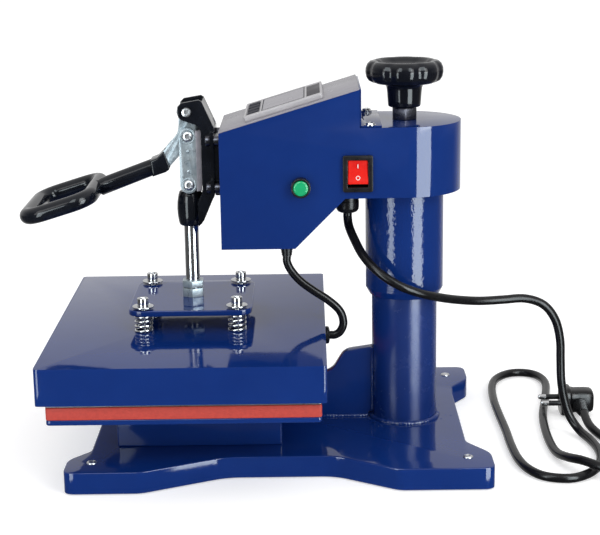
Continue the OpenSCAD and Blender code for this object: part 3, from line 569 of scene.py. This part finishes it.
def make_handle():
    """The loop and its bar, of round black enamelled rod."""
    tilt = math.radians(17)

    def on_loop(x, s):
        return P(x, -277 - s * math.cos(tilt), 237 - s * math.sin(tilt))

    length, half, bend, rod_r = 56 / math.cos(tilt), 49, 17, 7.15
    corners = [(half, 0), (half, length), (-half, length), (-half, 0)]
    points = []
    # each corner's bend, then the straight as far as the next bend
    for i, (x, s) in enumerate(corners):
        px, ps = corners[i - 1]
        nx, ns = corners[(i + 1) % 4]
        din = Vector((x - px, s - ps)).normalized()
        dout = Vector((nx - x, ns - s)).normalized()
        c = Vector((x, s))
        a, b = c - din * bend, c + dout * bend
        centre = a + dout * bend
        for k in range(13):
            t = k / 12 * math.pi / 2
            points.append(centre - dout * bend * math.cos(t) + din * bend * math.sin(t))
        next_bend = Vector((nx, ns)) - dout * bend
        for k in range(1, 6):
            points.append(b.lerp(next_bend, k / 6))
    bm = bmesh.new()
    sweep(bm, [on_loop(p.x, p.y) for p in points], rod_r, 28, closed=True)
    add("handle_loop_piece", bm, "black_paint", "handle", ("handle_loop",))
    bm = bmesh.new()
    # the bar, with the ring of its weld to the loop
    low, high = P(0, -275, 237.4), P(0, -217.5, 258.2)
    bar = [low.lerp(high, t) for t in (0, 0.02, 0.06, 0.1, 0.2, 0.4, 0.6, 0.8, 0.9, 0.96, 1.0)]
    sizes = (6.2, 6.9, 6.4, 7.1, 7.3, 7.3, 7.3, 7.3, 7.3, 7.2, 6.8)
    sweep(bm, bar, 1.0, 32, taper=lambda u: sizes[round(u * 10)])
    add("handle_bar", bm, "black_paint", "handle")


def make_guide():
    """The barrel under the bracket, which the rod slides through."""
    bm = bmesh.new()
    profile = [(7.0, 0), (9.2, 0.0), (10.2, 0.8), (10.9, 3), (11.8, 9), (12.1, 15), (11.8, 21), (10.8, 27),
               (9.8, 30.4), (8.9, 31.2), (7.0, 31.2)]
    lathe(bm, profile, (0, PRESS_Y, GUIDE_LOW), sides=72, closed=True)
    add("guide_barrel", bm, "black_paint", "arm", ("plunger_guide",), 40)


def make_link_pins():
    """The pins' heads, each with a socket, and the rings rolled into the link plates round them."""
    profile = [(4.6, 0), (4.5, 1.2), (3.8, 1.9), (2.5, 2.1), (2.2, 1.0), (0.2, 0.9)]
    for name, node, z in (("link_rivets", "link_pin", LINK_PIN_Z), ("fork_rivets", "fork_pin", FORK_PIN_Z)):
        bm = bmesh.new()
        lathe(bm, [(3.5, -LINKS_HALF), (3.5, LINKS_HALF)], (0, PRESS_Y, z), (1, 0, 0), 48)
        for side in (-1, 1):
            lathe(bm, profile, (side * LINKS_HALF, PRESS_Y, z), (side, 0, 0), 40)
        add(name, bm, "steel", "link", (node,), 40)
        bm = bmesh.new()
        for side in (-1, 1):
            lathe(bm, [(5.4, -0.02), (5.6, 0.25), (6.1, 0.38), (6.6, 0.25), (6.8, -0.02)],
                  (side * LINKS_HALF, PRESS_Y, z), (side, 0, 0), 48)
        add(name + "_ring", bm, "zinc", "link", (), 50)


def make_link_details():
    """The dimples punched in the link plates, and the plates' rear edges, which carry a painted reflection.
    """
    bm = bmesh.new()
    for side in (-1, 1):
        for z in (271.5, 253.5):
            lathe(bm, [(1.5, -0.02), (1.2, 0.32), (0.5, 0.5), (0.1, 0.52)],
                  (side * LINKS_HALF, PRESS_Y, z), (side, 0, 0), 20)
    add("link_dimples", bm, "zinc", "link", (), 60)
    # the link plates' rear edges, folded a little inwards, coloured a lighter lilac grey than the zinc: a
    # painted reflection
    bm = bmesh.new()
    for side in (-1, 1):
        section = ((14.45, -184.9), (14.45, -184.4), (11.7, -180.3), (11.55, -180.6), (11.55, -184.9))
        rings(bm, [[P(side * x, y, z) for x, y in section] for z in (235.5, 236.4, 288.6, 289.5)])
    add("link_edges", bm, "painted_sheen_edge", "link", (), 30)


def make_bracket_details():
    """The upper pivot with its caps, and the pad behind the bracket."""
    bm = bmesh.new()
    for side in (-1, 1):
        lathe(bm, [(4.3, 0), (4.3, 0.9), (3.8, 1.7), (2.3, 2.0), (2.0, 0.6), (0.2, 0.5)],
              (side * BRACKET_HALF, PRESS_Y, PIVOT_Z), (side, 0, 0), 40)
    shank = BRACKET_HALF - 0.1
    lathe(bm, [(4, -shank), (4, shank)], (0, PRESS_Y, PIVOT_Z), (1, 0, 0), 40)
    add("pivot_caps", bm, "steel", "arm", ("upper_pivot_pin",), 40)
    # the plate between the bracket and the housing
    bm = bmesh.new()
    size = Matrix.Diagonal((0.034, 0.0058, 0.052, 1))
    bmesh.ops.create_cube(bm, size=1, matrix=Matrix.Translation(P(0, -165.5, 258)) @ size)
    bmesh.ops.bevel(bm, geom=bm.edges[:], offset=0.0006, segments=2, affect="EDGES")
    add("bracket_pad", bm, "black_paint", "arm")


def make_glands():
    """The strain reliefs of the mains cord and the heater cable, and the grommet in the platen's cover."""
    bm = bmesh.new()
    profile = [(10.2, 22.2), (10.4, 21.5), (10.4, 12.2), (10.1, 11.9), (10.1, 10.9), (10.4, 10.6),
               (10.4, 5.0), (10.0, 2.8), (8.8, 1.0), (7.0, 0.1), (4.2, -0.1)]
    lathe(bm, profile, MAINS_EXIT, sides=48)
    add("mains_strain_relief", bm, "moulded", "arm", ("mains_gland",), 40)
    bm = bmesh.new()
    profile = [(5.9, 14.2), (5.9, 9.5), (5.5, 9.2)]
    for k in range(4):
        h = 8.8 - 2.1 * k
        r = 5.6 - 0.3 * k
        profile += [(r, h), (r, h - 1.1), (r - 0.7, h - 1.3), (r - 0.7, h - 2.0)]
    profile += [(4.2, 0.1), (3.9, 0.0)]
    lathe(bm, profile, HEATER_EXIT, sides=40)
    add("heater_strain_relief", bm, "moulded", "arm", ("heater_gland",), 40)
    bm = bmesh.new()
    profile = [(6.0, -3), (6.0, -0.2), (7.4, 0.0), (7.9, 0.6), (7.9, 2.6), (7.2, 3.4), (4.6, 4.0), (3.9, 4.0)]
    lathe(bm, profile, COVER_ENTRY, (0, 1, 0), 40)
    add("cover_grommet", bm, "moulded", "platen", ("cable_grommet",), 40)


def on_rocker(depth, y, z):
    """A point on the tipped rocker, from its axle: outwards, along the housing and up."""
    c, s = math.cos(math.radians(9)), math.sin(math.radians(9))
    return P(SWITCH[0] + depth * c - z * s, SWITCH[1] + y, SWITCH[2] + depth * s + z * c)


def rocker_rise(z):
    """How much further out the face of the rocker is than at its middle."""
    return 1.4 * (abs(z) / 10) ** 2


def make_rocker():
    """A shallow V across its width, with its two marks standing just proud."""
    bm = bmesh.new()
    sections = []
    for i in range(17):
        z = -10.3 + 20.3 * i / 16
        d = 9.9 + rocker_rise(z) - 0.35 * max(abs(z) - 9, 0)
        outline = ((3, -8.7), (3, 8.7), (d - 0.7, 8.7), (d, 8.1), (d + 0.05, 4), (d + 0.05, -4), (d, -8.1),
                   (d - 0.7, -8.7))
        sections.append([on_rocker(depth, y, z) for depth, y in outline])
    rings(bm, sections)
    add("rocker_piece", bm, "red", "rocker", ("switch_rocker",), 35)

    bm = bmesh.new()
    bar = [on_rocker(d, y, z) for d, y, z in
           ((10.4, -0.32, 3.4), (10.4, 0.32, 3.4), (10.8, 0.32, 6.9), (10.8, -0.32, 6.9))]
    rings(bm, [bar, [p + Vector((0.00045, 0, 0)) for p in bar]])
    sections = []
    for k in range(28):
        a = 2 * math.pi * k / 28
        ring = []
        for r, up in ((1.35, 0.0), (1.35, 0.5), (1.9, 0.5), (1.9, 0.0)):
            y, z = r * math.cos(a), -5.0 + r * math.sin(a)
            ring.append(on_rocker(9.95 + rocker_rise(z) + up - 0.1, y, z))
        sections.append(ring)
    rings(bm, sections, closed=True)
    add("rocker_marks", bm, "white", "rocker", (), 30)


def make_button():
    """A domed cap in its collar."""
    bm = bmesh.new()
    profile = [(5.4, 0), (5.4, 13.4), (6.5, 13.6), (6.5, 18.9), (6.1, 19.5), (4.8, 19.8), (2.4, 19.9),
               (0.1, 19.9)]
    lathe(bm, profile, BUTTON, (1, 0, 0), 48)
    add("button_dome", bm, "green", "button", ("button_cap",), 60)


def make_screws():
    """The heads of the screws in the base and on the rear cover."""
    bm = bmesh.new()
    for x, y in FOOT_HOLES:
        for side in (1, -1):
            lathe(bm, [(4.3, 0), (4.3, 0.4), (3.7, 1.2), (2.4, 1.65), (1.9, 1.1), (0.1, 1.0)],
                  (side * x, y, BASE_TOP), sides=36)
    add("foot_screw_heads", bm, "steel", "root", ("foot_screws",), 45)
    bm = bmesh.new()
    profile = [(5.2, 0), (5.2, 0.5), (4.1, 0.7), (4.0, 1.1), (3.5, 2.1), (2.2, 2.5), (1.6, 1.8), (0.1, 1.7)]
    for side in (-1, 1):
        lathe(bm, profile, (side * 43, -32, 297), sides=36)
    add("cover_screw_heads", bm, "chrome", "arm", ("cover_screws",), 45)


def bead(bm, points, radius):
    """A weld bead: overlapping ripples along a line of points."""
    path = [p + Vector((0, 0, 0.0004 * noise.noise(p * 400))) for p in points]
    sizes = [radius * (0.86 + 0.22 * abs(math.sin(i * 0.9)) + 0.25 * noise.noise(p * 160))
             for i, p in enumerate(points)]
    sweep(bm, path, 1.0, 10, taper=lambda u: sizes[round(u * (len(points) - 1))])


def make_welds():
    """The beads round the column's foot and along the gusset, and the spatter beside them."""
    bm = bmesh.new()
    angles = [math.radians(1.5 * t) for t in range(-83, 231)]
    bead(bm, [P(FOOT_WELD_R * math.cos(a), FOOT_WELD_R * math.sin(a), 20.6) for a in angles], 2.4)
    for x in (-5.2, 5.2):
        bead(bm, [P(x, y, 20.4) for y in [-34 - 0.8 * k for k in range(95)]], 1.9)
        bead(bm, [P(x, -29.4, z) for z in [26 + 0.8 * k for k in range(76)]], 1.5)
    add("weld_beads", bm, "paint_rough", "root", ("column_weld",), 70)
    bm = bmesh.new()
    for _ in range(46):
        a = random.uniform(0, 2 * math.pi)
        if random.random() < 0.5:
            x, y = random.uniform(6.5, 20) * random.choice((-1, 1)), random.uniform(-100, -30)
        else:
            r = random.uniform(33, 44)
            x, y = r * math.cos(a), r * math.sin(a)
        size = random.uniform(0.25, 0.7)
        lathe(bm, [(size, -0.1), (size * 0.8, size * 0.5), (0.05, size * 0.8)], (x, y, BASE_TOP), sides=8)
    add("weld_spatter", bm, "paint", "root", (), 70)


def panel_slab(bm, x0, x1, u0, u1, thickness):
    """A thin plate on the sloping panel: across it from x0 to x1, and from u0 to u1 up its slope."""
    slope = math.atan2(36, 121.3)
    c, s = math.cos(slope), math.sin(slope)
    corners = ((x0, u0), (x1, u0), (x1, u1), (x0, u1))
    rings(bm, [[P(x, -162.5 + u * c - w * s, 292.3 + u * s + w * c) for x, u in corners]
               for w in (BEZEL_FACE, BEZEL_FACE + thickness)])


def make_window_frame():
    """The dark line round the controller's window, and the pane inside it."""
    half, low, high, line = 35, 40.2, 79.2, 0.8
    bm = bmesh.new()
    for x0, x1, u0, u1 in ((-half, half, low, low + line), (-half, half, high - line, high),
                           (-half, line - half, low + line, high - line),
                           (half - line, half, low + line, high - line)):
        panel_slab(bm, x0, x1, u0, u1, 0.25)
    add("window_outline", bm, "key", "arm", (), 30)
    bm = bmesh.new()
    panel_slab(bm, 1 - half, half - 1, low + 1, high - 1, 0.18)
    add("window_pane", bm, "panel", "arm", (), 30)


make_springs()
make_window_frame()
make_handwheel()
make_handle()
make_guide()
make_link_pins()
make_link_details()
make_bracket_details()
make_glands()
make_rocker()
make_button()
make_screws()
make_welds()

for node, obj in frame["nodes"].items():
    obj.data.materials.clear()
    obj.data.materials.append(MAT[USES[node]])


# ---- floor and light ----

def make_floor():
    """A pale floor that lifts itself a little, and isn't seen in reflections."""
    bm = bmesh.new()
    bmesh.ops.create_grid(bm, x_segments=8, y_segments=8, size=40)
    mesh = bpy.data.meshes.new("floor")
    bm.to_mesh(mesh)
    bm.free()
    floor = bpy.data.objects.new("floor", mesh)
    bpy.context.scene.collection.objects.link(floor)
    n = Nodes("floor")
    n.bsdf.inputs["Roughness"].default_value = 0.7
    n.bsdf.inputs["Specular IOR Level"].default_value = 0.1
    n.link(n.mix(n.noise(3, 2.0), (0.86, 0.86, 0.86), (0.88, 0.88, 0.88)), n.bsdf.inputs["Base Color"])
    n.bsdf.inputs["Emission Color"].default_value = (1, 1, 1, 1)
    n.bsdf.inputs["Emission Strength"].default_value = 0.38
    mesh.materials.append(n.mat)
    floor.visible_glossy = False


def make_world():
    """Soft light from all round, which the enamel and the chrome reflect."""
    world = bpy.data.worlds.new("studio")
    bpy.context.scene.world = world
    world.use_nodes = True
    t = world.node_tree
    t.nodes["Background"].inputs["Color"].default_value = (1, 1, 1, 1)
    coord = t.nodes.new("ShaderNodeTexCoord")
    split = t.nodes.new("ShaderNodeSeparateXYZ")
    t.links.new(coord.outputs["Generated"], split.inputs[0])

    def ramp(axis, low, high, a, b):
        n = t.nodes.new("ShaderNodeMapRange")
        n.interpolation_type = "SMOOTHSTEP"
        n.inputs["From Min"].default_value = low
        n.inputs["From Max"].default_value = high
        t.links.new(split.outputs[axis], n.inputs["Value"])
        for key, value in (("To Min", a), ("To Max", b)):
            if isinstance(value, float):
                n.inputs[key].default_value = value
            else:
                t.links.new(value, n.inputs[key])
        return n.outputs["Result"]

    # pale behind the press, dim towards the viewer, brighter overhead, dark below
    side = ramp("X", -0.75, 0.35, 0.72, 0.20)
    under = ramp("X", -0.95, -0.35, 0.70, 0.12)
    level = ramp("Z", -0.10, 0.0, under, side)
    level = ramp("Z", 0.25, 0.85, level, 1.0)
    t.links.new(level, t.nodes["Background"].inputs["Strength"])


def make_lights():
    """Two softboxes, and four narrow strips beside the press."""
    def box(name, azimuth, distance, z, width, height, radiance):
        data = bpy.data.lights.new(name, "AREA")
        data.shape = "RECTANGLE"
        data.size, data.size_y = width, height
        data.energy = radiance * math.pi * width * height
        obj = bpy.data.objects.new(name, data)
        bpy.context.scene.collection.objects.link(obj)
        a = math.radians(azimuth)
        obj.location = P(0, 0, 150) + Vector((distance * math.cos(a), distance * math.sin(a), z))
        # a softbox faces the press's middle, and a strip faces it level
        target = P(0, 0, 150 if distance > 1 else obj.location.z * 1000)
        obj.rotation_euler = (target - obj.location).to_track_quat("-Z", "Y").to_euler()
        obj.visible_camera = False
        return obj

    box("softbox_right", 41, 2.1, 0.9, 1.1, 1.6, 4.5)
    box("softbox_left", -42, 2.2, 0.9, 0.9, 1.6, 2.5)
    # the strips stand close by and only show as reflections
    for name, azimuth, distance, width, radiance, low, high in (
            ("strip_right", 35.5, 0.62, 0.32, 11, -0.14, 0.43),
            ("strip_left", -42, 0.85, 0.24, 8, -0.14, 0.43),
            ("high_right", 26, 0.70, 0.32, 5, 0.56, 1.25),
            ("high_left", -26, 0.70, 0.32, 5, 0.56, 1.25)):
        strip = box(name, azimuth, distance, (low + high) / 2 - 0.15, width, high - low, radiance)
        strip.data.color = (0.86, 0.96, 1.0)
        strip.visible_diffuse = False


make_floor()
make_world()
make_lights()
